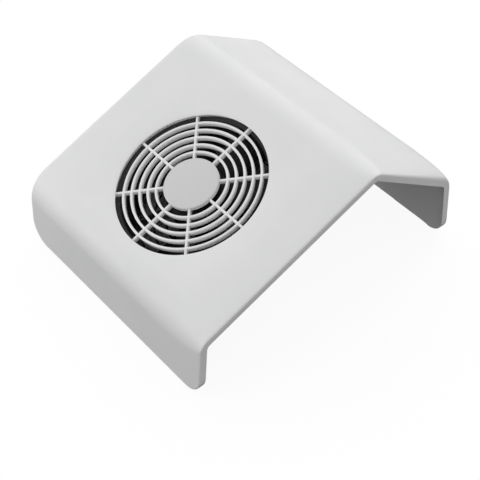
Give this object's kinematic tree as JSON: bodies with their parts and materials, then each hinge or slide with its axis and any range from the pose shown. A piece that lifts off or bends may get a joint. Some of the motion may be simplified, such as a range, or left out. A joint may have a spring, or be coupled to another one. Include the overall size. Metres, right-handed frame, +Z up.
{
  "type": "nail dust collector",
  "caption": "Desktop nail dust collector: a bent plastic arch with a sloping top, a round grille over a suction fan and a cloth dust bag beneath.",
  "frame": {"origin": "middle of the whole object's footprint, on the surface it stands on", "axes": "+Z up, +X across the arch from the low leg to the high leg, +Y along the arch from the front end to the back end; azimuth 0 looks along +Y with +X to the right"},
  "size_m": [0.277, 0.24, 0.1244],
  "materials": {
    "white_plastic": "smooth white moulded plastic with a soft gloss",
    "black_plastic": "black glass-filled plastic",
    "foam": "closed-cell sealing foam",
    "foot_rubber": "matt rubber",
    "brass": "machined",
    "bearing_steel": "ground steel",
    "core_steel": "laminated or drawn steel",
    "copper": "enamelled copper wire",
    "plated_wire": "bright plated wire",
    "screw_steel": "zinc-plated",
    "bag_cloth": "close-woven white cloth",
    "elastic": "covered elastic band",
    "sleeve_plastic": "soft insulating sleeve",
    "lead_sheath": "flexible cable sheath"
  },
  "bodies": {
    "body": {"top_shell": "white_plastic", "rubber_feet": "foot_rubber", "fan_guard": "white_plastic", "foam_gasket": "foam", "fan_housing": "black_plastic", "bearing_tube": "brass", "front_bearing": "bearing_steel", "rear_bearing": "bearing_steel", "stator_core": "core_steel", "stator_windings": "copper", "motor_cap": "black_plastic", "terminal_block": "black_plastic", "terminal_tabs": "brass", "fan_plug": "black_plastic", "outlet_guard": "plated_wire", "fan_screws": "screw_steel", "screw_washers": "screw_steel", "switch_housing": "black_plastic", "switch_terminals": "brass", "inlet_socket": "black_plastic", "inlet_pins": "brass", "inlet_screws": "screw_steel", "inlet_nuts": "screw_steel", "tab_sleeves": "sleeve_plastic", "cable_clips": "white_plastic", "lead_cores": "lead_sheath", "fan_cable": "lead_sheath"},
    "rotor": {"impeller": "black_plastic", "rotor_cup": "core_steel", "fan_shaft": "bearing_steel", "thrust_washer": "brass", "shaft_clip": "bearing_steel"},
    "rocker": {"switch_rocker": "black_plastic"},
    "bag": {"dust_bag": "bag_cloth", "bag_elastic": "elastic"}
  },
  "joints": [
    {"name": "impeller_spin", "type": "hinge", "parent": "body", "child": "rotor", "pos_m": [-0.04756, 0, 0.0918], "axis": [-0.3543, 0, 0.9351], "continuous": true},
    {"name": "power_rocker", "type": "hinge", "parent": "body", "child": "rocker", "pos_m": [0.13174, 0.04, 0.03], "axis": [0, 0, 1], "range_deg": [0, 20]},
    {"name": "bag_pull_off", "type": "slide", "parent": "body", "child": "bag", "axis": [0.3543, 0, -0.9351], "range_m": [0, 0.01]}
  ]
}
